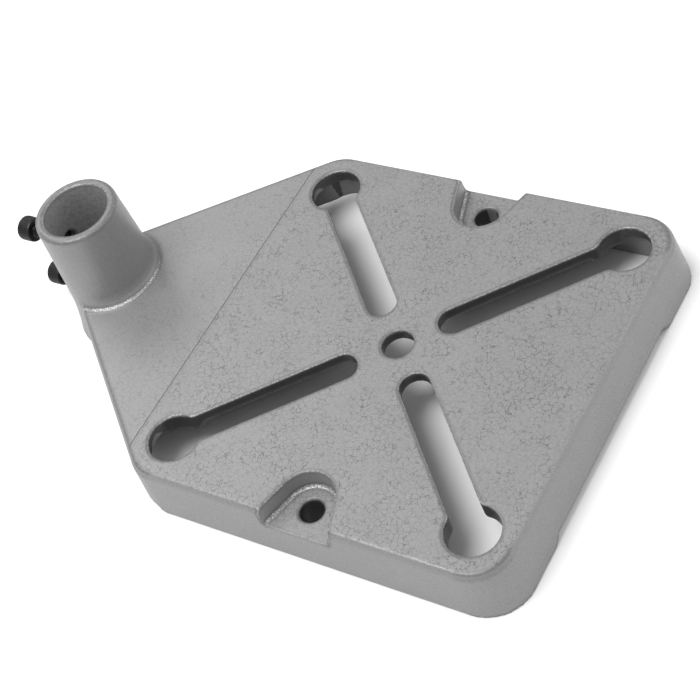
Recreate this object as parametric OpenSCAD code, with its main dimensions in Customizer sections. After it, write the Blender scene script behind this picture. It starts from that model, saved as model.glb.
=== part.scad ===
// Cast base of a drill stand: a slotted table, a column socket and two clamp screws.
// The origin is on the column's axis at the level of the bench. The table lies towards -Y.

/* [Table] */
// Width of the flat top face, side to side
table_w = 153.8; // [145:0.1:175]
// Flat top face, from the table's centre to its front edge
table_front = 75.8; // [71:0.1:88]
// Flat top face, from the table's centre back to the extension
table_back = 75.2; // [71:0.1:80]
// Height of the top face above the bench
table_h = 21.3; // [19:0.1:30]
// Thickness of the plate
plate_t = 5; // [4:0.1:6]
// Radius of the top face's corners
corner_r = 13.2; // [9:0.1:16]
// Width of the bevel round the top face
bevel_w = 1.4; // [0.6:0.1:2]
// Height of the bevel round the top face
bevel_h = 1.9; // [0.8:0.1:2.4]
// Thickness of the skirt round the edge
skirt_t = 4.6; // [3.6:0.1:5.4]
// Lean of the side skirts from upright, in degrees
skirt_lean = 5.5; // [3:0.1:8]
// Extra lean of the front skirt, in degrees
front_lean = 4; // [0:0.1:5]
// How far the front and back edges are lifted off the bench
foot_lift = 2.8; // [1.5:0.1:4]
// Half the length of the lifted edge between the front feet
foot_gap = 43.5; // [30:0.5:52]
// Length of the ramp from a lifted edge down to a foot
foot_ramp = 3.5; // [2:0.1:8]
// From the table's centre back to the end of the side skirts' feet
back_foot = 62; // [50:0.5:66]

/* [Slots and holes] */
// From the table's centre to the middle of each round slot end
slot_reach = 86; // [80:0.1:88]
// From the table's centre to the middle of each inner slot tip
slot_start = 21.2; // [18:0.1:30]
// Width of each slot
slot_w = 11.2; // [8:0.1:13]
// Diameter of the round slot end
slot_end_d = 19.2; // [16:0.1:20.5]
// Radius where a slot runs into its round end
shoulder_r = 3; // [1.5:0.1:5]
// Depth of the wall round a slot end
slot_end_depth = 7.6; // [6.5:0.1:9]
// Spread of the thickened ring round a slot end, where it meets the plate
slot_end_spread = 4.2; // [3:0.1:9]
// Spread of the ring at its lower edge
slot_end_foot = 1.4; // [1:0.1:3]
// Thickness of the lip left over the pocket outside a slot end
pocket_lip = 1.5; // [1:0.1:3]
// From the middle of a slot end outwards to the edge of its pocket
pocket_start = 2; // [1:0.1:4]
// From a slot end's edge out to the pocket's, at the pocket's top
pocket_rim = 0.2; // [0.1:0.1:0.5]
// Diameter of the hole in the middle of the table
centre_hole_d = 11.8; // [8:0.1:16]
// Width of the chamfer round the slot ends and holes
rim_chamfer = 0.5; // [0.2:0.05:0.8]

/* [Bench mounting] */
// From the table's centre to each mounting hole
mount_reach = 68; // [66:0.1:72]
// Diameter of the mounting holes
mount_d = 9; // [6:0.1:11]
// Depth of the notch round a mounting hole, below the top face
notch_depth = 7.5; // [6:0.1:9]
// Radius of the notch's nose at its floor
notch_r = 10.15; // [9:0.05:12]
// Opening angle of each side of the notch, in degrees
notch_flare = 16.53; // [8:0.01:22]
// Lean of the notch's wall from upright, in degrees
notch_lean = 5; // [2:0.5:8]
// Thickness of the notch's floor
notch_t = 4.6; // [3.6:0.1:5.4]
// Radius of the housing under the notch
housing_r = 18.5; // [16:0.5:20]
// From the mounting hole out to the middle of the housing
housing_out = 4; // [2:0.5:6]
// Thickness of the wall of the boss under a mounting hole
mount_boss_t = 4.6; // [3:0.1:5.4]

/* [Extension] */
// From the table's centre to the column's axis
throat = 131.2; // [126:0.1:140]
// Angle of each slanted edge to the table's back edge, in degrees
edge_angle = 48.78; // [46:0.01:52]
// Height of the step from the table up to the extension
step_h = 0.25; // [0.2:0.05:1.2]
// From the top face's slanted edges in to the raised face
step_inset = 0.3; // [0:0.1:1]
// Thickness of the ribs under the extension
rib_t = 4; // [3:0.1:6]
// Depth of the ribs below the plate
rib_depth = 8; // [4:0.1:11]
// Half the length of the cross rib
rib_half = 42; // [25:0.5:48]

/* [Column socket] */
// Diameter of the column
column_d = 25.4; // [22:0.1:27]
// Play of the column in its bore, on the diameter
column_play = 0.4; // [0.2:0.05:0.6]
// Height of the socket's mouth above the bench
socket_h = 57.5; // [50:0.1:75]
// Outer diameter of the socket at its mouth
socket_mouth_d = 33; // [31:0.1:36]
// Height of the socket's waist, below which it flares out
waist_h = 24; // [18:0.5:30]
// Outer diameter of the socket at its waist
waist_d = 36.2; // [34:0.1:40]
// Outer diameter of the socket at the bench
socket_foot_d = 44.2; // [40:0.1:48]
// Radius of the rounded lip at the mouth
lip_r = 1.4; // [0.8:0.1:1.8]
// Chamfer inside the mouth
mouth_chamfer = 0.5; // [0.2:0.05:0.8]
// Radius of the fillet between the socket and the extension
socket_fillet = 3.7; // [1.5:0.1:5]

/* [Clamp screws] */
// Height of the upper clamp screw above the bench
upper_screw_h = 37.5; // [32:0.1:44]
// Height of the lower clamp screw above the bench
lower_screw_h = 11.2; // [7:0.1:14]
// Thread diameter of the clamp screws
screw_d = 6; // [5:0.5:8]
// Length of the clamp screws under the head
screw_len = 16; // [16:0.5:25]
// Play of a clamp screw in its hole, on the diameter
screw_play = 0.1; // [0.05:0.01:0.15]
// From the bore's wall back to the upper screw's tip
upper_tip_gap = 1.7; // [0.5:0.1:3]
// From the bore's wall back to the lower screw's tip
lower_tip_gap = 0.7; // [0.5:0.1:4]
// Diameter of a screw's head
head_d = 9.8; // [8:0.1:13]
// Height of a screw's head
head_h = 6; // [4:0.1:8]
// Rounding of the head's outer edge
head_edge = 0.7; // [0.3:0.1:1]
// Width of the hexagon socket across its flats
hex_af = 5; // [4:0.5:6]
// Depth of the hexagon socket
hex_depth = 3.2; // [2:0.1:3.6]
// Chamfer at a screw's tip
tip_chamfer = 0.8; // [0.4:0.1:1.2]

/* [Hidden] */
$fn = 96;
// How far a cutting shape runs past the surface that it cuts
over = 1;
cast_colour = [0.64, 0.64, 0.64];
screw_colour = [0.09, 0.09, 0.09];
table_y = -throat;
lean = tan(skirt_lean);
underside = table_h - plate_t;
notch_floor = table_h - notch_depth;
bore_r = (column_d + column_play) / 2;
screw_r = screw_d / 2;
screw_hole_r = (screw_d + screw_play) / 2;
slot_end_r = slot_end_d / 2;
ext_top = table_h + step_h;
// Centres of the table's four rounded corners, seen from the table's centre
corner_x = table_w / 2 - corner_r;
table_corners = [
    [-corner_x, -(table_front - corner_r)], [corner_x, -(table_front - corner_r)],
    [corner_x, table_back - corner_r], [-corner_x, table_back - corner_r]
];
// Unit vector square to the right slanted edge, and the edge's distance from the table's centre
edge_n = [sin(edge_angle), cos(edge_angle)];
edge_d = edge_n * table_corners[2] + corner_r;
// Middle of the socket's wall, up to where the table's shell runs into it
core_r = (bore_r + waist_d / 2) / 2;
// How far the hollow stops before the column's axis
hollow_short = 4;
// How far the hollow's slanted sides lie inside its round corners
hollow_inset = 0.5;
// How far the notch's sides lie inside its round nose
notch_inset = 0.05;
// From a mounting hole out to where the notch's sides end, clear of the skirt
notch_run = 20;
// Slope of the socket's wall above its waist, and how fast it grows below the waist
socket_slope = (waist_d - socket_mouth_d) / 2 / (socket_h - waist_h);
socket_flare = ((socket_foot_d - waist_d) / 2 - socket_slope * waist_h) / pow(waist_h, 2);
flare_steps = 8;

// Radius of the socket's outside at a height above the bench
function socket_r(z) =
    waist_d / 2 + socket_slope * (waist_h - z) + (z < waist_h ? socket_flare * pow(waist_h - z, 2) : 0);

// The point of the right slanted edge that is square to the column's axis, moved in by inset
function edge_end(inset) = [0, throat] + edge_n * (edge_d - edge_n.y * throat - inset);

// The extension's top face from the table's back edge to the socket, with its edges moved in
function ext_face(inset) = let (
    half = (edge_d - inset - edge_n.y * table_back) / edge_n.x,
    end = edge_end(inset)
) [[-half, table_back], [half, table_back], end, [-end.x, end.y]];

// Leaning slab from one corner's centre to the next
module leaning_side(start, end, low_r, high_r, h, inset = 0) {
    side = end - start;
    translate(start) rotate(atan2(side.y, side.x)) rotate([90, 0, 90]) linear_extrude(norm(side))
        polygon([[over, 0], [inset - low_r, 0], [inset - high_r, h], [over, h]]);
}

// A block with leaning sides: each side is a slab and each rounded corner a cone
module leaning_block(corners, low_r, high_r, h) {
    linear_extrude(h) polygon(corners);
    for (i = [0 : len(corners) - 1]) {
        leaning_side(corners[i], corners[(i + 1) % len(corners)], low_r, high_r, h, notch_inset);
        translate(corners[i]) cylinder(h = h, r1 = low_r, r2 = high_r);
    }
}

// A layer of the whole base: the table's four corners, and slanted edges that run into the socket
module base_layer(low_r, high_r, h, short = 0, inset = 0) {
    end = edge_end(corner_r) + short * [edge_n.y, -edge_n.x];
    left_end = [-end.x, end.y];
    ring = [left_end, table_corners[3], table_corners[0], table_corners[1], table_corners[2], end];
    linear_extrude(h) polygon(ring);
    for (i = [1 : 3]) leaning_side(ring[i], ring[i + 1], low_r, high_r, h);
    at_sides() leaning_side(table_corners[2], end, low_r, high_r, h, inset);
    for (corner = table_corners) translate(corner) cylinder(h = h, r1 = low_r, r2 = high_r);
}

// Slants a form below z = 0 towards the front, the more the lower it is
module slanted() {
    multmatrix([[1, 0, 0, 0], [0, 1, tan(front_lean), 0], [0, 0, 1, 0]]) children();
}

// Outer form of the table and the extension with their bevelled top edge
module base_block() {
    skirt_top = table_h - bevel_h;
    intersection() {
        translate([0, 0, skirt_top]) slanted() translate([0, 0, -skirt_top])
            base_layer(
                corner_r + bevel_w + lean * skirt_top,
                corner_r + bevel_w - lean * (bevel_h + over),
                table_h + over
            );
        translate([0, 0, -over])
            base_layer(corner_r + bevel_w / bevel_h * (table_h + over), corner_r, table_h + over);
    }
}

// Raised top face of the extension
module extension_step() {
    translate([0, 0, underside]) linear_extrude(ext_top - underside) polygon(ext_face(step_inset));
}

// Hollow under the table and the extension
module base_hollow() {
    foot_r = corner_r + bevel_w + lean * (table_h - bevel_h) - skirt_t;
    translate([0, 0, -over])
        base_layer(foot_r + lean * over, foot_r - lean * underside, underside + over, hollow_short, hollow_inset);
}

// Ribs under the extension: one across its front and three from the socket to it
module ribs() {
    translate([0, 0, underside - rib_depth]) linear_extrude(rib_depth + over) {
        translate([-rib_half, table_back]) square([2 * rib_half, rib_t]);
        for (x = [-rib_half, 0, rib_half]) {
            run = [0, throat] - [x, table_back + rib_t / 2];
            translate([x, table_back + rib_t / 2]) rotate(atan2(run.y, run.x))
                translate([0, -rib_t / 2]) square([norm(run), rib_t]);
        }
    }
}

// Outline of one slot from its tip out to its round end, along +X
module slot_outline(grow) {
    half = slot_w / 2 + grow;
    end_r = slot_end_r + grow;
    round_r = shoulder_r - grow;
    shoulder_y = half + round_r;
    shoulder_x = slot_reach - sqrt(pow(end_r + round_r, 2) - pow(shoulder_y, 2));
    translate([slot_start, 0]) circle(r = half);
    translate([slot_start, -half]) square([slot_reach - slot_start, 2 * half]);
    translate([slot_reach, 0]) circle(r = end_r);
    difference() {
        polygon([[shoulder_x, -shoulder_y], [slot_reach, 0], [shoulder_x, shoulder_y]]);
        for (side = [-1, 1]) translate([shoulder_x, side * shoulder_y]) circle(r = round_r);
    }
}

// The four slots, each turned to its own diagonal
module at_diagonals() {
    for (turn = [45 : 90 : 315]) rotate(turn) children();
}

module slot_cuts() {
    at_diagonals() {
        translate([0, 0, -over]) linear_extrude(table_h + 2 * over) slot_outline(0);
        translate([slot_reach, 0, table_h - rim_chamfer])
            cylinder(h = rim_chamfer + over, r1 = slot_end_r, r2 = slot_end_r + rim_chamfer + over);
    }
}

// Thickened ring under the plate round each slot end
module slot_end_rings() {
    at_diagonals() translate([slot_reach, 0, table_h - slot_end_depth])
        cylinder(
            h = slot_end_depth - plate_t + over,
            r1 = slot_end_r + slot_end_foot,
            r2 = slot_end_r + slot_end_spread
        );
}

// Pocket outside each slot end, which leans out with the skirt and leaves a thin lip above
module slot_end_pockets() {
    lip_z = table_h - pocket_lip;
    foot_r = corner_x + corner_r + bevel_w + lean * (table_h - bevel_h) - skirt_t - slot_reach * cos(45);
    at_diagonals() translate([slot_reach, 0, 0]) intersection() {
        translate([0, 0, -over]) cylinder(h = lip_z + over, r1 = foot_r, r2 = slot_end_r + pocket_rim);
        translate([pocket_start, -foot_r, -over]) cube([foot_r, 2 * foot_r, table_h]);
    }
}

// Corner centres of a notch: its nose, and two points outside the skirt
function notch_corners() = [
    [mount_reach, 0], [mount_reach + notch_run, -notch_run * tan(notch_flare)],
    [mount_reach + notch_run, notch_run * tan(notch_flare)]
];

// Both sides of the table, the second one mirrored
module at_sides() {
    children();
    mirror([1, 0, 0]) children();
}

// Notch round a mounting hole, open at the side
module notch_cut() {
    notch_high = notch_depth + over;
    translate([0, 0, notch_floor])
        leaning_block(notch_corners(), notch_r, notch_r + tan(notch_lean) * notch_high, notch_high);
}

// Wall and floor of the notch, and the boss that carries them to the bench
module notch_housing() {
    low = notch_floor - notch_t;
    intersection() {
        union() {
            translate([mount_reach + housing_out, 0, low]) cylinder(h = underside - low + over, r = housing_r);
            translate([mount_reach, 0, 0]) cylinder(h = notch_floor, r = mount_d / 2 + mount_boss_t);
        }
        base_block();
    }
}

module mount_hole() {
    translate([mount_reach, 0, -over]) cylinder(h = table_h, d = mount_d);
    translate([mount_reach, 0, notch_floor - rim_chamfer])
        cylinder(h = rim_chamfer + over, r1 = mount_d / 2, r2 = mount_d / 2 + rim_chamfer + over);
}

module centre_hole() {
    translate([0, 0, -over]) cylinder(h = table_h + 2 * over, d = centre_hole_d);
    translate([0, 0, table_h - rim_chamfer])
        cylinder(h = rim_chamfer + over, r1 = centre_hole_d / 2, r2 = centre_hole_d / 2 + rim_chamfer + over);
}

// Lifts the front edge off the bench between the two front feet
module front_lift() {
    low = -over * foot_ramp / foot_lift;
    reach = table_front + skirt_t * 3;
    translate([0, -table_front + skirt_t * 2, 0]) rotate([90, 0, 0]) linear_extrude(reach)
        polygon([
            [-foot_gap - foot_ramp + low, -over], [foot_gap + foot_ramp - low, -over],
            [foot_gap, foot_lift], [-foot_gap, foot_lift]
        ]);
}

// Lifts the back corners and slanted edges off the bench, between the side skirts' feet and the socket
module back_lift() {
    low = -over * foot_ramp / foot_lift;
    translate([-table_w, 0, 0]) rotate([90, 0, 90]) linear_extrude(2 * table_w)
        polygon([
            [back_foot + low, -over], [throat + socket_foot_d, -over],
            [throat + socket_foot_d, foot_lift], [back_foot + foot_ramp, foot_lift]
        ]);
}

// Column socket with its rounded lip, around the column's axis
module socket_tube() {
    lip_z = socket_h - lip_r;
    lip_x = socket_mouth_d / 2 - lip_r;
    lip = [for (a = [0 : 15 : 90]) [lip_x + lip_r * cos(a), lip_z + lip_r * sin(a)]];
    flare = [for (i = [0 : flare_steps]) let (z = waist_h * i / flare_steps) [socket_r(z), z]];
    rotate_extrude() polygon(concat(
        [[bore_r, 0]],
        flare,
        lip,
        [[bore_r + mouth_chamfer, socket_h], [bore_r, socket_h - mouth_chamfer]]
    ));
}

// Fillet where the socket rises out of the extension
module socket_root() {
    root_r = socket_r(ext_top) + socket_fillet;
    cove = [for (a = [180 : 10 : 270])
        [root_r + socket_fillet * cos(a), ext_top + socket_fillet * (1 + sin(a))]];
    intersection() {
        rotate_extrude() polygon(concat(
            cove,
            [[root_r, ext_top - over], [bore_r + over, ext_top - over], [bore_r + over, ext_top + socket_fillet]]
        ));
        translate([0, -throat, 0]) linear_extrude(socket_h)
            polygon(ext_face(step_inset));
    }
}

// Threaded holes for the clamp screws, through the back of the socket
module screw_holes() {
    for (z = [lower_screw_h, upper_screw_h])
        translate([0, 0, z]) rotate([-90, 0, 0]) cylinder(h = socket_foot_d, r = screw_hole_r);
}

// Table and extension as one shell, before the socket is added
module table_shell() {
    translate([0, table_y, 0]) difference() {
        union() {
            difference() {
                base_block();
                difference() {
                    base_hollow();
                    ribs();
                }
                front_lift();
                back_lift();
            }
            extension_step();
            slot_end_rings();
            at_sides() notch_housing();
        }
        slot_cuts();
        slot_end_pockets();
        at_sides() notch_cut();
        at_sides() mount_hole();
        centre_hole();
    }
}

module base_casting() {
    color(cast_colour) difference() {
        union() {
            difference() {
                table_shell();
                translate([0, 0, -over]) cylinder(h = socket_h, r = core_r);
            }
            socket_tube();
            socket_root();
        }
        translate([0, 0, -over]) cylinder(h = socket_h - mouth_chamfer + over, r = bore_r);
        screw_holes();
    }
}

// Cap screw along Y with its tip at the origin and its head towards +Y
module clamp_screw() {
    color(screw_colour) rotate([-90, 0, 0]) difference() {
        rotate_extrude() polygon([
            [0, 0], [screw_r - tip_chamfer, 0], [screw_r, tip_chamfer], [screw_r, screw_len],
            [head_d / 2, screw_len], [head_d / 2, screw_len + head_h - head_edge],
            [head_d / 2 - head_edge, screw_len + head_h], [0, screw_len + head_h]
        ]);
        translate([0, 0, screw_len + head_h - hex_depth])
            cylinder(h = hex_depth + over, d = hex_af / cos(30), $fn = 6);
    }
}

module upper_clamp_screw() {
    translate([0, bore_r + upper_tip_gap, upper_screw_h]) clamp_screw();
}

module lower_clamp_screw() {
    translate([0, bore_r + lower_tip_gap, lower_screw_h]) clamp_screw();
}

base_casting();
upper_clamp_screw();
lower_clamp_screw();
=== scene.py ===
import math

import bmesh
import bpy
import numpy as np
from mathutils import Matrix, Vector


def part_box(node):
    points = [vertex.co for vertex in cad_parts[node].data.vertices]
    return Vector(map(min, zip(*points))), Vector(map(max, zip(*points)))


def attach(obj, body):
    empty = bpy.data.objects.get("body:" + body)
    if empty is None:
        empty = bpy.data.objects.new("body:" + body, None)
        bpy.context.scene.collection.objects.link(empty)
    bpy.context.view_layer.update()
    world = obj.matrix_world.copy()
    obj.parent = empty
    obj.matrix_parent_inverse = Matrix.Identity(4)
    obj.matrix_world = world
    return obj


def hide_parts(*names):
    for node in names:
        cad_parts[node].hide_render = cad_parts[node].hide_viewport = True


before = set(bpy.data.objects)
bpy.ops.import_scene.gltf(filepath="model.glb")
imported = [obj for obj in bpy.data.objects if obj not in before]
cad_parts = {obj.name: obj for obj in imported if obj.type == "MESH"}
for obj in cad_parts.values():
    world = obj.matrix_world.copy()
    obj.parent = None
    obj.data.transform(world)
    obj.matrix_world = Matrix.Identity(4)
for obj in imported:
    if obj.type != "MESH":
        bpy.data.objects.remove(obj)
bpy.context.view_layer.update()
scene = bpy.context.scene
mm = 0.001


def linearColour(hexText):
    # sRGB hex to the linear RGBA that the shader sockets take
    values = [int(hexText[i:i + 2], 16) / 255 for i in (1, 3, 5)]
    return [v / 12.92 if v <= 0.04045 else ((v + 0.055) / 1.055) ** 2.4 for v in values] + [1]


def addNode(tree, kind, settings=None, **inputs):
    # A node with its settings. Each input is named, with _ for a space, or numbered as i0, i1 and so on.
    # It is set to a value, or linked to an output or to another node's first output.
    node = tree.nodes.new(kind)
    for name, value in (settings or {}).items():
        setattr(node, name, value)
    for name, value in inputs.items():
        numbered = name[0] == "i" and name[1:].isdigit()
        socket = node.inputs[int(name[1:]) if numbered else name.replace("_", " ")]
        if isinstance(value, bpy.types.Node):
            value = value.outputs[0]
        if isinstance(value, bpy.types.NodeSocket):
            tree.links.new(value, socket)
        else:
            socket.default_value = value
    return node


def newMaterial(name):
    material = bpy.data.materials.new(name)
    material.use_nodes = True
    material.node_tree.nodes.clear()
    return material, material.node_tree


def placeObject(name, mesh, material):
    obj = bpy.data.objects.new(name, mesh)
    scene.collection.objects.link(obj)
    mesh.materials.clear()
    mesh.materials.append(material)
    return obj


# In this dictionary a range is a pair: the noise or slope where something starts, and where it is full
crackle = {
    "face": "#8F8F8F",              # grey between the cracks
    "cloud": "#858585",             # slow change of tone over the coat
    "crack and seam shadow": "#585858",              # the dark cracks, and the painted shadow line at the seam
    "edge band": "#5A5A5A",               # darker band in patches on both sides of an edge
    "thin": "#3E3E3E",              # painted shade inside the slots and holes, and under the table
    "bare": "#AEAEAE",              # turned cast metal, without paint, inside the socket's bore
    "highlight": "#DADADA",             # painted highlight: glints along the edges and at the socket's foot, and the light line beside the seam

    "cell": 2.1 * mm,               # width of one island between cracks
    "vein width": 0.065,            # share of a cell
    "wander": 1.1 * mm,             # how far a crack strays from straight
    "wander size": 0.7,             # length of one bend in a crack, as a share of a cell
    "break": 1.3 * mm,              # spacing of the gaps where a crack stops
    "break range": (0.33, 0.44),
    "patch": 8 * mm,                # size of the patches where the cracks fade
    "patch range": (0.36, 0.6),
    "patch least": 0.38,            # strength of the cracks in the faintest patch
    "upward range": (0.55, 0.95),
    "upward least": 0.12,           # strength of the cracks on the walls
    "extension least": 0.5,         # strength of the cracks round the socket
    "extension reach": (8 * mm, 15 * mm),   # they fade from this far before the seam to this far behind it

    "seam": -55.75 * mm,            # where the table meets the extension, along Y
    "seam width": 0.42 * mm,
    "seam wobble": 0.5 * mm,
    "seam shadow": 0.9,               # strength of the painted shadow line and of the painted highlight beside it
    "seam highlight": 0.1,

    "cloud size": 18 * mm,
    "grain": 0.45 * mm,             # size of one flake, drawn coarser than real so that it shows
    "grain range": (0.3, 0.7),
    "grain tone": (0.88, 1.1),      # darkest and lightest grain, as a share of the tone
    "glint range": (0.5, 0.62),
    "glint strength": 0.8,
    "crest range": (0.5, 0.9),      # sharpness of the edges that carry the painted highlights
    "pit": 1.4 * mm,                # pits and stains on bare metal, and the patches of the darker band beside edges
    "pit range": (0.35, 0.6),
    "pit tone": 0.75,
    "edge band strength": 2.6,

    "orange peel": 1.6 * mm,
    "crack depth": 0.35,            # share of the relief
    "grain depth": 0.25,
    "relief": 0.1 * mm,
    "relief strength": 0.5,
    "roughness": 0.44,
    "roughness swing": 0.08,
    "metallic": 0.3,
    "ior": 1.5,
}


def crackleEnamel():
    # Grey crackle stove enamel with aluminium flake, sprayed and baked on a sand casting: a soft satin sheen,
    # islands of smooth paint parted by fine dark cracks, and a painted highlight of bright glints along the edges
    spec = crackle
    material, tree = newMaterial("crackleEnamel")
    place = addNode(tree, "ShaderNodeTexCoord").outputs["Object"]
    along = addNode(tree, "ShaderNodeSeparateXYZ", None, Vector=place).outputs["Y"]
    normal = addNode(tree, "ShaderNodeNewGeometry").outputs["Normal"]
    upward = addNode(tree, "ShaderNodeSeparateXYZ", None, Vector=normal).outputs["Z"]
    smooth = {"interpolation_type": "SMOOTHSTEP"}
    times, plus, minus = [{"operation": name} for name in ("MULTIPLY", "ADD", "SUBTRACT")]
    timesPlus, most, near, scaled = [{"operation": name} for name in ("MULTIPLY_ADD", "MAXIMUM", "COMPARE", "SCALE")]
    colours = {"data_type": "RGBA"}

    # the cracks are the edges of bent cells
    bend = addNode(tree, "ShaderNodeTexNoise", None, Vector=place, Scale=1 / (spec["wander size"] * spec["cell"]),
                   Detail=4.0)
    centred = addNode(tree, "ShaderNodeVectorMath", minus, i0=bend.outputs["Color"], i1=(0.5, 0.5, 0.5))
    stray = addNode(tree, "ShaderNodeVectorMath", scaled, i0=centred, Scale=2 * spec["wander"])
    bent = addNode(tree, "ShaderNodeVectorMath", plus, i0=place, i1=stray)
    cells = addNode(tree, "ShaderNodeTexVoronoi", {"feature": "DISTANCE_TO_EDGE"}, Vector=bent, Scale=1 / spec["cell"])
    line = addNode(tree, "ShaderNodeMapRange", smooth, Value=cells.outputs["Distance"],
                   i1=0.0, i2=spec["vein width"], i3=1.0, i4=0.0)

    # they are strongest on faces that point up and on the table, and fade or stop in places
    fade = addNode(tree, "ShaderNodeTexNoise", None, Vector=place, Scale=1 / spec["patch"], Detail=4.0)
    low, high = spec["patch range"]
    patchy = addNode(tree, "ShaderNodeMapRange", None, Value=fade, i1=low, i2=high, i3=spec["patch least"], i4=1.0)
    low, high = spec["upward range"]
    facing = addNode(tree, "ShaderNodeMapRange", smooth, Value=upward, i1=low, i2=high, i3=spec["upward least"], i4=1.0)
    gaps = addNode(tree, "ShaderNodeTexNoise", None, Vector=place, Scale=1 / spec["break"], Detail=1.0)
    low, high = spec["break range"]
    broken = addNode(tree, "ShaderNodeMapRange", None, Value=gaps, i1=low, i2=high, i3=0.0, i4=1.0)
    before, behind = spec["extension reach"]
    extension = addNode(tree, "ShaderNodeMapRange", None, Value=along, i1=spec["seam"] - before,
                        i2=spec["seam"] + behind, i3=1.0, i4=spec["extension least"])
    spread = addNode(tree, "ShaderNodeMath", times, i0=patchy, i1=extension)
    whole = addNode(tree, "ShaderNodeMath", times, i0=spread, i1=broken)
    shown = addNode(tree, "ShaderNodeMath", times, i0=whole, i1=facing)
    veins = addNode(tree, "ShaderNodeMath", times, i0=line, i1=shown)

    # painted shadow at the step between table and extension: a fine dark line, with a painted highlight beside it
    width, wobble = spec["seam width"], spec["seam wobble"]
    wavy = addNode(tree, "ShaderNodeMath", timesPlus, i0=bend, i1=wobble, i2=along)
    seamLines = []
    for shift, strength in ((wobble / 2, spec["seam shadow"]), (wobble / 2 + width, spec["seam highlight"])):
        apart = addNode(tree, "ShaderNodeMath", near, i0=wavy, i1=spec["seam"] + shift, i2=width / 2)
        drawn = addNode(tree, "ShaderNodeMath", times, i0=apart, i1=strength)
        seamLines.append(addNode(tree, "ShaderNodeMath", times, i0=drawn, i1=facing))
    seamShadow, seamHighlight = seamLines
    # the cracks and the painted seam shadow take the same dark colour
    crackAndSeamShadow = addNode(tree, "ShaderNodeMath", most, i0=veins, i1=seamShadow)

    # colour: slow clouds and grain, the cracks and the painted seam shadow, the painted shade in the recesses, then the
    # bare bore
    cloud = addNode(tree, "ShaderNodeTexNoise", None, Vector=place, Scale=1 / spec["cloud size"], Detail=5.0)
    grain = addNode(tree, "ShaderNodeTexNoise", None, Vector=place, Scale=1 / spec["grain"], Detail=2.0)
    tone = addNode(tree, "ShaderNodeMix", colours, i0=cloud,
                   i6=linearColour(spec["face"]), i7=linearColour(spec["cloud"])).outputs[2]
    low, high = spec["grain range"]
    dark, light = spec["grain tone"]
    mottle = addNode(tree, "ShaderNodeMapRange", None, Value=grain, i1=low, i2=high, i3=dark, i4=light)
    grained = addNode(tree, "ShaderNodeVectorMath", scaled, i0=tone, Scale=mottle.outputs[0])
    crackedAndSeamShaded = addNode(tree, "ShaderNodeMix", colours, i0=crackAndSeamShadow, i6=grained, i7=linearColour(spec["crack and seam shadow"])).outputs[2]
    # painted shade in the recesses: the walls inside the slots and holes, and under the table
    thin = addNode(tree, "ShaderNodeAttribute", {"attribute_name": "thinCoat"}).outputs["Fac"]
    walled = addNode(tree, "ShaderNodeMix", colours, i0=thin, i6=crackedAndSeamShaded, i7=linearColour(spec["thin"])).outputs[2]
    pits = addNode(tree, "ShaderNodeTexNoise", None, Vector=place, Scale=1 / spec["pit"], Detail=6.0)
    low, high = spec["pit range"]
    pitted = addNode(tree, "ShaderNodeMapRange", None, Value=pits, i1=low, i2=high, i3=spec["pit tone"], i4=1.0)
    turned = addNode(tree, "ShaderNodeVectorMath", scaled, i0=tuple(linearColour(spec["bare"])[:3]), Scale=pitted)
    bore = addNode(tree, "ShaderNodeAttribute", {"attribute_name": "bareBore"}).outputs["Fac"]
    bored = addNode(tree, "ShaderNodeMix", colours, i0=bore, i6=walled, i7=turned).outputs[2]

    # a darker band in patches on both sides of an edge, and a painted highlight of glints along its crest
    edge = addNode(tree, "ShaderNodeAttribute", {"attribute_name": "edgeSheen"}).outputs["Fac"]
    outer = addNode(tree, "ShaderNodeMath", minus, i0=1.0, i1=edge)
    flank = addNode(tree, "ShaderNodeMath", times, i0=outer, i1=edge)
    patches = addNode(tree, "ShaderNodeMath", times, i0=pitted, i1=flank)
    banded = addNode(tree, "ShaderNodeMath", times, i0=patches, i1=spec["edge band strength"])
    edged = addNode(tree, "ShaderNodeMix", colours, i0=banded, i6=bored, i7=linearColour(spec["edge band"])).outputs[2]
    low, high = spec["glint range"]
    # painted glints, broken up by the grain
    glint = addNode(tree, "ShaderNodeMapRange", None, Value=grain, i1=low, i2=high, i3=0.0, i4=spec["glint strength"])
    low, high = spec["crest range"]
    crest = addNode(tree, "ShaderNodeMapRange", None, Value=edge, i1=low, i2=high, i3=0.0, i4=1.0)
    spark = addNode(tree, "ShaderNodeMath", times, i0=glint, i1=crest)
    # no painted highlight where the recess shade is painted
    unshaded = addNode(tree, "ShaderNodeMath", minus, i0=1.0, i1=thin)
    shining = addNode(tree, "ShaderNodeMath", times, i0=spark, i1=unshaded)
    # the painted seam highlight takes the colour of the painted edge highlights
    bright = addNode(tree, "ShaderNodeMath", most, i0=shining, i1=seamHighlight)
    colour = addNode(tree, "ShaderNodeMix", colours, i0=bright, i6=edged, i7=linearColour(spec["highlight"])).outputs[2]

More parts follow.
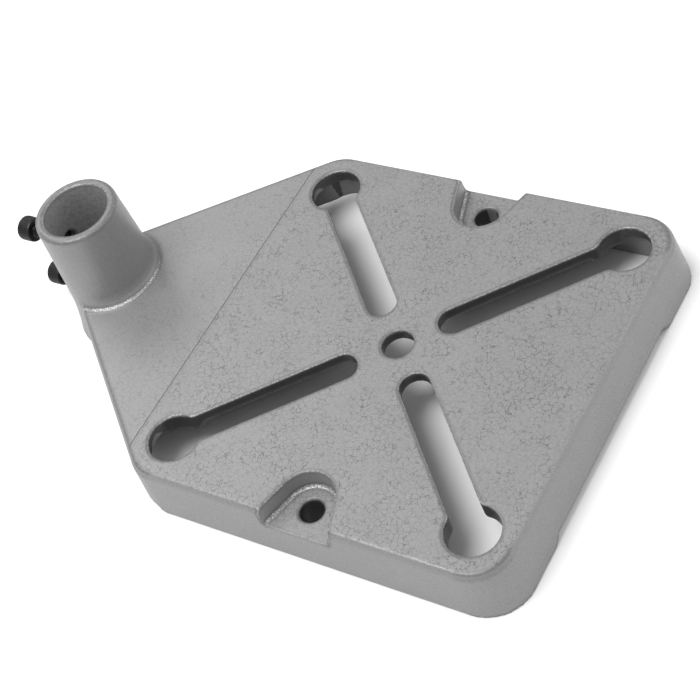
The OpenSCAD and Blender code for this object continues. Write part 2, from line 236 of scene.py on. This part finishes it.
    # relief: the cracks sink in, and the coat has an orange-peel swell and a fine grain
    peel = addNode(tree, "ShaderNodeTexNoise", None, Vector=place, Scale=1 / spec["orange peel"], Detail=2.0)
    swell = addNode(tree, "ShaderNodeMath", timesPlus, i0=crackAndSeamShadow, i1=-spec["crack depth"], i2=peel)
    height = addNode(tree, "ShaderNodeMath", timesPlus, i0=grain, i1=spec["grain depth"], i2=swell)
    relief = addNode(tree, "ShaderNodeBump", None, Strength=spec["relief strength"], Distance=spec["relief"],
                     Height=height)
    low, high = spec["grain range"]
    rough = addNode(tree, "ShaderNodeMapRange", None, Value=grain, i1=low, i2=high,
                    i3=spec["roughness"] + spec["roughness swing"], i4=spec["roughness"] - spec["roughness swing"])
    shader = addNode(tree, "ShaderNodeBsdfPrincipled", None, Base_Color=colour, Metallic=spec["metallic"],
                     Roughness=rough, IOR=spec["ior"], Normal=relief)
    addNode(tree, "ShaderNodeOutputMaterial", None, Surface=shader)
    return material


blackSteel = {
    "steel": "#232325",
    # lighter grey: the bath's stains, and painted sheen on the ridges
    "stain and sheen": "#4A4A4C",
    "blotch": 1.4 * mm,             # size of the stains that the hot bath leaves
    "stain range": (0.45, 0.75),
    "stain strength": 0.35,
    "grit": 0.25 * mm,              # fine scratches from tumbling, drawn coarser than real
    "relief": 0.03 * mm,
    "relief strength": 0.25,
    "polished": 0.3,                # roughness where the bath left the steel brightest and dullest
    "dull": 0.5,
    "dull range": (0.3, 0.7),
    "metallic": 0.9,
}


def blackOxideSteel():
    # Alloy steel blackened in a hot oxide bath and oiled: nearly black, with a painted soft metal sheen on ridges
    spec = blackSteel
    material, tree = newMaterial("blackOxideSteel")
    place = addNode(tree, "ShaderNodeTexCoord").outputs["Object"]
    blotch = addNode(tree, "ShaderNodeTexNoise", None, Vector=place, Scale=1 / spec["blotch"], Detail=4.0)
    grit = addNode(tree, "ShaderNodeTexNoise", None, Vector=place, Scale=1 / spec["grit"], Detail=2.0)
    edge = addNode(tree, "ShaderNodeAttribute", {"attribute_name": "edgeSheen"}).outputs["Fac"]
    low, high = spec["stain range"]
    stain = addNode(tree, "ShaderNodeMapRange", None, Value=blotch, i1=low, i2=high, i3=0.0, i4=spec["stain strength"])
    # the bath's stains, and painted sheen on the sharp ridges
    weight = addNode(tree, "ShaderNodeMath", {"operation": "MAXIMUM"}, i0=stain, i1=edge)
    colour = addNode(tree, "ShaderNodeMix", {"data_type": "RGBA"}, i0=weight,
                     i6=linearColour(spec["steel"]), i7=linearColour(spec["stain and sheen"])).outputs[2]
    low, high = spec["dull range"]
    rough = addNode(tree, "ShaderNodeMapRange", None, Value=blotch, i1=low, i2=high,
                    i3=spec["polished"], i4=spec["dull"])
    relief = addNode(tree, "ShaderNodeBump", None, Strength=spec["relief strength"], Distance=spec["relief"],
                     Height=grit)
    shader = addNode(tree, "ShaderNodeBsdfPrincipled", None, Base_Color=colour, Metallic=spec["metallic"],
                     Roughness=rough, Normal=relief)
    addNode(tree, "ShaderNodeOutputMaterial", None, Surface=shader)
    return material


# The casting has the CAD's form with cast, rounded edges
casting = {
    "weld": 0.002 * mm,
    "voxel": 0.6 * mm,
    "rounding": 2,                  # smoothing passes, which wear the sharp edges down
    "rounding step": 0.5,           # how far each pass moves a point towards its neighbours' middle
    "keep": 0.38,                   # share of the triangles kept
    "outer bend": (0.035, 0.12),    # bend at an outer edge where the mask for painted highlights begins and is full
    "inner bend": (0.03, 0.065),    # the same in an inner corner, which gets painted highlights too
    "inner tilt": -0.2,             # faces turned further down than this get none
    "bead": 20.1 * mm,              # radius and height of the line at the socket's foot where the painted highlight lies
    "bead height": 22.5 * mm,
    "bead reach": 1.5 * mm,
    "bead width": 1.2,              # half its width, in mm, with the soft edge
    "bead front": 1.1,              # how far round the socket it goes, from the left
    "bore": 15.4 * mm,              # radius of the bare bore, with a little to spare
    "bore tilt": 0.5,
}

# Where the slots, holes and notches lie in the table, in mm from its middle, for the painted shade in the recesses
table = {
    "middle": -131.2,
    "half width": 72,
    "front": 72,
    "back": 71,
    "notch from": 53,
    "notch middle": 68,
    "notch half": 22,
    "notch floor": 13.3,            # height over the bench
    "wall tilt": 0.35,              # faces turned further up than this get no painted shade
}


def meshArrays(mesh):
    # points, their normals, the pairs of points that share an edge, and how many neighbours each has
    points, normals = np.zeros(len(mesh.vertices) * 3), np.zeros(len(mesh.vertices) * 3)
    mesh.vertices.foreach_get("co", points)
    mesh.vertices.foreach_get("normal", normals)
    pairs = np.zeros(len(mesh.edges) * 2, np.int64)
    mesh.edges.foreach_get("vertices", pairs)
    counts = np.bincount(pairs, minlength=len(mesh.vertices)).clip(1)
    return points.reshape(-1, 3), normals.reshape(-1, 3), pairs.reshape(-1, 2), counts


def neighbourMean(values, pairs, counts):
    total = np.zeros_like(values)
    for a, b in ((0, 1), (1, 0)):
        for column in range(values.shape[1]):
            total[:, column] += np.bincount(pairs[:, a], values[pairs[:, b], column], len(values))
    return total / counts[:, None]


def keepValues(mesh, name, values):
    mesh.attributes.new(name, "FLOAT", "POINT").data.foreach_set("value", values.astype(np.float32))


def smoothPoints(mesh, passes, share):
    points, normals, pairs, counts = meshArrays(mesh)
    for step in range(passes):
        points += share * (neighbourMean(points, pairs, counts) - points)
    mesh.vertices.foreach_set("co", points.ravel())
    mesh.update()


def edgeSheen(mesh, outerBend, innerBend=None):
    # how sharply the surface turns outwards at each point, or inwards, from 0 to 1: the mask for the painted edge
    # highlights
    points, normals, pairs, counts = meshArrays(mesh)
    lengths = np.linalg.norm(points[pairs[:, 0]] - points[pairs[:, 1]], axis=1)
    reach = sum(np.bincount(pairs[:, end], lengths, len(points)) for end in (0, 1)) / counts
    bend = ((points - neighbourMean(points, pairs, counts)) * normals).sum(1) / reach.clip(1e-9)
    weight = ((bend - outerBend[0]) / (outerBend[1] - outerBend[0])).clip(0, 1)
    if innerBend:
        inner = ((-bend - innerBend[0]) / (innerBend[1] - innerBend[0])).clip(0, 1)
        weight = np.maximum(weight, np.where(normals[:, 2] > casting["inner tilt"], inner, 0))
    return neighbourMean(weight[:, None], pairs, counts)[:, 0]


def footBeadHighlight(mesh):
    # painted highlight along the fillet at the socket's foot, strongest on the left, where the light falls
    points = meshArrays(mesh)[0]
    aside = np.abs(np.linalg.norm(points[:, :2], axis=1) - casting["bead"]) / mm
    level = np.abs(points[:, 2] - casting["bead height"]) < casting["bead reach"]
    left = (casting["bead front"] - points[:, 0] / casting["bead"]).clip(0, 1)
    return (casting["bead width"] - aside).clip(0, 1) * level * left


def thinCoat(mesh):
    # painted shade on the walls inside the slots and holes, and on the table's underside
    points, normals = meshArrays(mesh)[:2]
    x, y, z = np.abs(points[:, 0]) / mm, points[:, 1] / mm - table["middle"], points[:, 2] / mm
    sideways = normals[:, 0] * np.sign(points[:, 0])
    inTable = (x < table["half width"]) & (y > -table["front"]) & (y < table["back"])
    inNotch = (x > table["notch from"]) & (np.abs(y) < table["notch half"]) & (z > table["notch floor"])
    facesNotch = (table["notch middle"] - x) * sideways - y * normals[:, 1] > 0
    openWall = inNotch & facesNotch & (normals[:, 2] > -table["wall tilt"])
    return inTable & ~openWall & (normals[:, 2] < table["wall tilt"])


def bareBore(mesh):
    points, normals = meshArrays(mesh)[:2]
    inward = (points[:, :2] * normals[:, :2]).sum(1) < 0
    upright = np.abs(normals[:, 2]) < casting["bore tilt"]
    return (np.linalg.norm(points[:, :2], axis=1) < casting["bore"]) & inward & upright


def appliedMesh(obj):
    # the mesh with its modifiers in it
    mesh = bpy.data.meshes.new_from_object(obj.evaluated_get(bpy.context.evaluated_depsgraph_get()))
    obj.modifiers.clear()
    obj.data = mesh
    return mesh


def castSkin(material):
    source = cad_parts["base_casting"].data.copy()
    welded = bmesh.new()
    welded.from_mesh(source)
    bmesh.ops.remove_doubles(welded, verts=welded.verts, dist=casting["weld"])
    welded.to_mesh(source)
    welded.free()
    skin = placeObject("castBase", source, material)
    remesh = skin.modifiers.new("cast", "REMESH")
    remesh.mode = "VOXEL"
    remesh.voxel_size = casting["voxel"]
    smoothPoints(appliedMesh(skin), casting["rounding"], casting["rounding step"])
    fewer = skin.modifiers.new("fewer", "DECIMATE")
    fewer.ratio = casting["keep"]
    mesh = appliedMesh(skin)
    # painted highlights along sharp edges and on the fillet at the socket's foot
    weight = edgeSheen(mesh, casting["outer bend"], casting["inner bend"])
    keepValues(mesh, "edgeSheen", np.maximum(weight, footBeadHighlight(mesh)))
    # the mask of the painted shade in the recesses
    keepValues(mesh, "thinCoat", thinCoat(mesh))
    keepValues(mesh, "bareBore", bareBore(mesh))
    mesh.materials.clear()
    mesh.materials.append(material)
    mesh.polygons.foreach_set("use_smooth", [True] * len(mesh.polygons))
    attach(skin, "base")
    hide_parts("base_casting")
    print("casting:", len(mesh.vertices), "points")


# The clamp screws are socket head cap screws with real threads
screw = {
    "around": 72,                   # points round the screw
    "pitch": 1 * mm,
    "thread depth": 0.55 * mm,
    "flank": 0.42,                  # half the width of the groove, as a share of the pitch
    "thread start": 0.6,            # turns over which the thread grows at the tip
    "neck": 0.6 * mm,               # plain length under the head
    "tip chamfer": 0.8 * mm,
    "rows a pitch": 8,
    "core": 3 * mm,                 # outer radius of the thread
    "length": 16 * mm,              # under the head
    "neck fillet": 0.25 * mm,
    "head": 4.9 * mm,               # radius of the head
    "head height": 6 * mm,
    "head chamfer": ((0, 0.35 * mm), (0.12 * mm, 0.18 * mm)),   # height and inset of its two rings
    "ridges": 36,                   # straight knurl round the head
    "ridge depth": 0.16 * mm,
    "ridge rows": (0.5, 1.2, 2.2, 3.2, 4.2),    # mm over the head's underside
    "ridge end": 0.35 * mm,         # plain band between the knurl and the rim
    "rim": 0.7 * mm,                # rounding of the head's outer edge
    "rim rings": 6,
    "rim inset": 0.08 * mm,
    "hexagon": 2.5 * mm,            # half the width across the flats
    "hexagon depth": 3.2 * mm,
    "hexagon rows": (0.35, 1.2, 2.2),           # mm under the head's top
    "hexagon chamfer": ((0, 0.35 * mm), (0.05 * mm, 0.2 * mm)),     # depth and width of its two rings
    "drill": (0.15 * mm, 0.55),     # the hexagon's floor: depth and share of the width
    "cone": 0.2 * mm,
    "outer bend": (0.08, 0.3),
    "sharp": 38,                    # degrees from which an edge is shown sharp
}


def threadRadius(along, angle):
    # a 60-degree thread with flat crests, which fades out at the tip and under the head
    spec = screw
    turn = (along / spec["pitch"] - angle / math.tau) % 1
    groove = max(0, 1 - abs(turn - 0.5) / spec["flank"])
    left = spec["length"] - spec["neck"] - along
    fade = min(1, along / (spec["thread start"] * spec["pitch"]), max(0, left / spec["pitch"]))
    return spec["core"] - spec["thread depth"] * groove * max(0, fade) - max(0, spec["tip chamfer"] - along)


def hexRadius(angle):
    third = math.tau / 6
    return screw["hexagon"] / math.cos((angle + third / 2) % third - third / 2)


def knurlRadius(angle):
    return screw["head"] - screw["ridge depth"] * (0.5 + 0.5 * math.cos(screw["ridges"] * angle))


def headRows():
    # (distance along, radius as a function of the angle) from under the head to the hexagon's floor
    spec = screw
    base, top = spec["length"], spec["length"] + spec["head height"]
    ring = lambda r: lambda angle: r
    corner = spec["hexagon"] / math.cos(math.pi / 6)
    rows = [(base, ring(spec["core"] + spec["neck fillet"]))]
    rows += [(base + up, ring(spec["head"] - inset)) for up, inset in spec["head chamfer"]]
    rows += [(base + h * mm, knurlRadius) for h in spec["ridge rows"]]
    rows.append((top - spec["rim"] - spec["ridge end"], knurlRadius))
    for step in range(spec["rim rings"]):
        bend = math.radians(90 / (spec["rim rings"] - 1) * step)
        inset = spec["rim"] * (1 - math.cos(bend)) + spec["rim inset"]
        rows.append((top - spec["rim"] * (1 - math.sin(bend)), ring(spec["head"] - inset)))
    rows += [(top - down, ring(corner + wide)) for down, wide in spec["hexagon chamfer"]]
    rows += [(top - d * mm, hexRadius) for d in spec["hexagon rows"]]
    rows.append((top - spec["hexagon depth"], hexRadius))
    down, share = spec["drill"]
    rows.append((top - spec["hexagon depth"] - down, lambda angle: share * hexRadius(angle)))
    return rows


def capScrew(name, node, body, material):
    # the screw lies along Y with its tip towards the column
    spec = screw
    low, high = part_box(node)
    tip = Vector(((low.x + high.x) / 2, low.y, (low.z + high.z) / 2))
    steps = int(spec["length"] / spec["pitch"] * spec["rows a pitch"])
    rows = [(spec["length"] * i / steps, None) for i in range(steps)] + headRows()
    form = bmesh.new()
    rings = []
    for along, radius in rows:
        ring = []
        for i in range(spec["around"]):
            angle = math.tau * i / spec["around"]
            r = radius(angle) if radius else threadRadius(along, angle)
            ring.append(form.verts.new(tip + Vector((r * math.cos(angle), along, r * math.sin(angle)))))
        rings.append(ring)
    for near, far in zip(rings, rings[1:]):
        for i in range(spec["around"]):
            j = (i + 1) % spec["around"]
            form.faces.new((near[i], near[j], far[j], far[i]))
    for ring, along in ((rings[0], 0), (rings[-1], rows[-1][0] - spec["cone"])):
        middle = form.verts.new(tip + Vector((0, along, 0)))
        for i in range(spec["around"]):
            form.faces.new((ring[i], ring[(i + 1) % spec["around"]], middle))
    bmesh.ops.recalc_face_normals(form, faces=form.faces)
    mesh = bpy.data.meshes.new(name)
    form.to_mesh(mesh)
    form.free()
    mesh.update()
    keepValues(mesh, "edgeSheen", edgeSheen(mesh, spec["outer bend"]))
    mesh.polygons.foreach_set("use_smooth", [True] * len(mesh.polygons))
    mesh.set_sharp_from_angle(angle=math.radians(spec["sharp"]))
    obj = placeObject(name, mesh, material)
    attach(obj, body)
    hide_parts(node)
    print("screw:", name)


castSkin(crackleEnamel())
steel = blackOxideSteel()
capScrew("upperScrew", "upper_clamp_screw", "upper_screw", steel)
capScrew("lowerScrew", "lower_clamp_screw", "lower_screw", steel)


paper = {
    "white": "#F4F4F4",
    "size": 8,
    "tooth": 2 * mm,                # paper fibre, drawn coarser than real
    "relief": 0.05 * mm,
    "relief strength": 0.05,
    "roughness": 0.9,
    "ior": 1.45,
}


def makeFloor():
    spec = paper
    material, tree = newMaterial("paperSweep")  # matt photo paper: even and pale, with a faint tooth
    place = addNode(tree, "ShaderNodeTexCoord").outputs["Object"]
    tooth = addNode(tree, "ShaderNodeTexNoise", None, Vector=place, Scale=1 / spec["tooth"], Detail=2.0)
    relief = addNode(tree, "ShaderNodeBump", None, Strength=spec["relief strength"], Distance=spec["relief"],
                     Height=tooth)
    shader = addNode(tree, "ShaderNodeBsdfPrincipled", None, Base_Color=linearColour(spec["white"]),
                     Roughness=spec["roughness"], IOR=spec["ior"], Normal=relief)
    addNode(tree, "ShaderNodeOutputMaterial", None, Surface=shader)
    half = spec["size"] / 2
    mesh = bpy.data.meshes.new("paper")
    mesh.from_pydata([(-half, -half, 0), (half, -half, 0), (half, half, 0), (-half, half, 0)], [], [(0, 1, 2, 3)])
    placeObject("paper", mesh, material)


# Each light: place, what it points at, size in metres, power in watts
lights = {
    "key": ((-0.5, 0.25, 1.7), (0, -0.1, 0), 1.2, 26),
    "fill": ((0.9, -1.1, 0.9), (0, -0.1, 0), 1.4, 6),
    "back": ((0.4, 1.2, 1.1), (0, -0.1, 0), 1.0, 6),
}
sky = {"colour": "#FFFFFF", "strength": 0.6}


def aimed(place, aim, roll=0):
    turn = (Vector(aim) - Vector(place)).to_track_quat("-Z", "Y").to_matrix()
    return Matrix.Translation(place) @ (turn @ Matrix.Rotation(math.radians(roll), 3, "Z")).to_4x4()


def makeLights():
    for name, (place, aim, size, power) in lights.items():
        lamp = bpy.data.lights.new(name, "AREA")
        lamp.shape = "DISK"
        lamp.size = size
        lamp.energy = power
        obj = bpy.data.objects.new(name, lamp)
        obj.matrix_world = aimed(place, aim)
        scene.collection.objects.link(obj)
    world = bpy.data.worlds.new("studio")
    world.use_nodes = True
    background = world.node_tree.nodes["Background"]
    background.inputs["Color"].default_value = linearColour(sky["colour"])
    background.inputs["Strength"].default_value = sky["strength"]
    scene.world = world


camera = {
    "place": (-0.2826, -0.4290, 0.4780),
    "aim": (-0.00663, -0.11444, 0.02),
    "roll": -25.53,                 # degrees: the photograph is tilted
    "lens": 89.63,                  # mm, on a sensor 36 mm wide
    "sensor": 36,
    "nearest": 0.01,
}


def makeCamera():
    lens = bpy.data.cameras.new("camera")
    lens.lens = camera["lens"]
    lens.sensor_width = camera["sensor"]
    lens.clip_start = camera["nearest"]
    obj = bpy.data.objects.new("camera", lens)
    obj.matrix_world = aimed(camera["place"], camera["aim"], camera["roll"])
    scene.collection.objects.link(obj)
    scene.camera = obj


makeFloor()
makeLights()
makeCamera()
scene.view_settings.view_transform = "Standard"
print("studio done")
